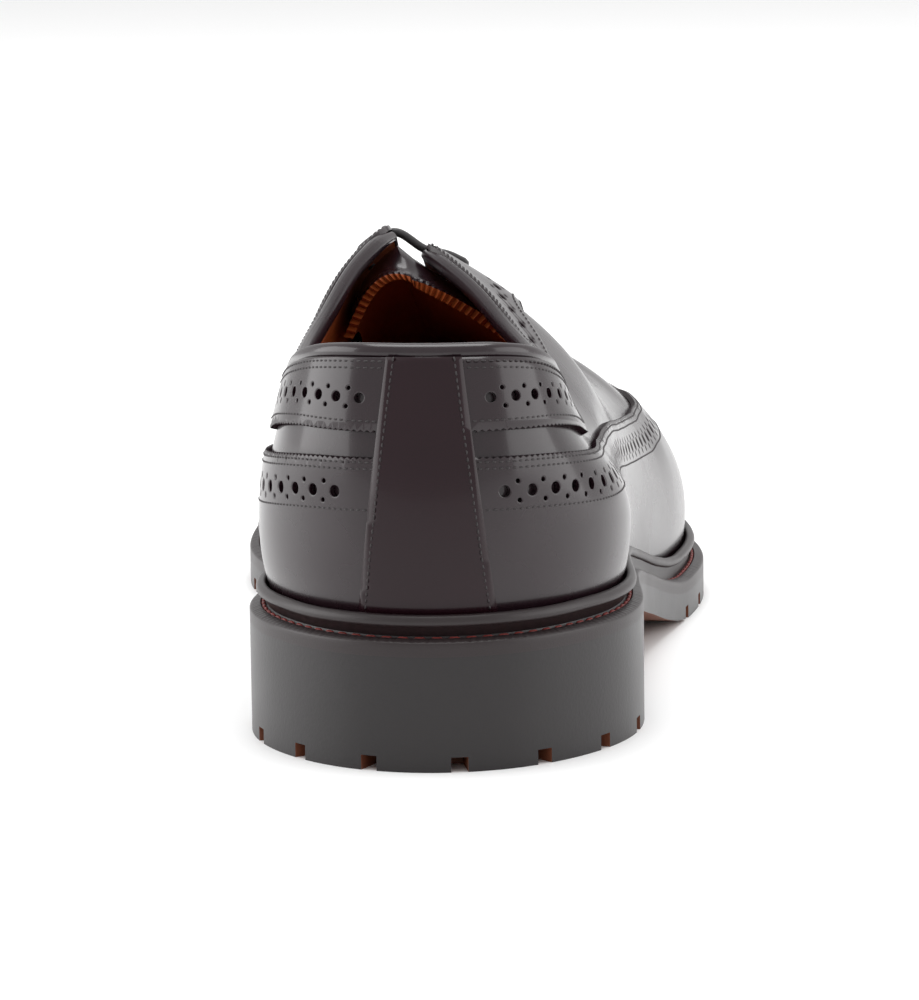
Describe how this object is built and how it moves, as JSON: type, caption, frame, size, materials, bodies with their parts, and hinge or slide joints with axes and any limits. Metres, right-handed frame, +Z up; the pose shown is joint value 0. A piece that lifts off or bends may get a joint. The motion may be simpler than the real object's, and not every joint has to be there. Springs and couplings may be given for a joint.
{
  "type": "longwing_brogue",
  "caption": "Longwing derby brogue for the right foot: polished dark aubergine leather, tan lining, storm welt, lugged rubber sole and heel, straight laces.",
  "frame": {"origin": "On the floor, z = 0, on the heel's tread lug that lies under the middle of the heel.", "axes": "+X to the outer (lateral) side, +Y from the heel to the toe, +Z up."},
  "size_m": [0.1146, 0.306, 0.1001],
  "materials": {
    "upper_leather": "high polish, waxed, dark aubergine",
    "lining_leather": "satin, tan",
    "welt_leather": "satin, dyed and waxed",
    "sole_rubber": "matt, dressed dark edge",
    "lace_cotton": "waxed round cotton"
  },
  "bodies": {
    "root": {"outsole": "sole_rubber", "heel": "sole_rubber", "welt": "welt_leather", "insole": "lining_leather", "upper": "upper_leather", "tongue": "upper_leather", "wing": "upper_leather", "backstay": "upper_leather", "collar_band_outer": "upper_leather", "collar_band_inner": "upper_leather", "lace_bar_1": "lace_cotton", "lace_bar_2": "lace_cotton", "lace_bar_3": "lace_cotton", "lace_bar_4": "lace_cotton", "lace_bar_5": "lace_cotton"}
  },
  "joints": []
}
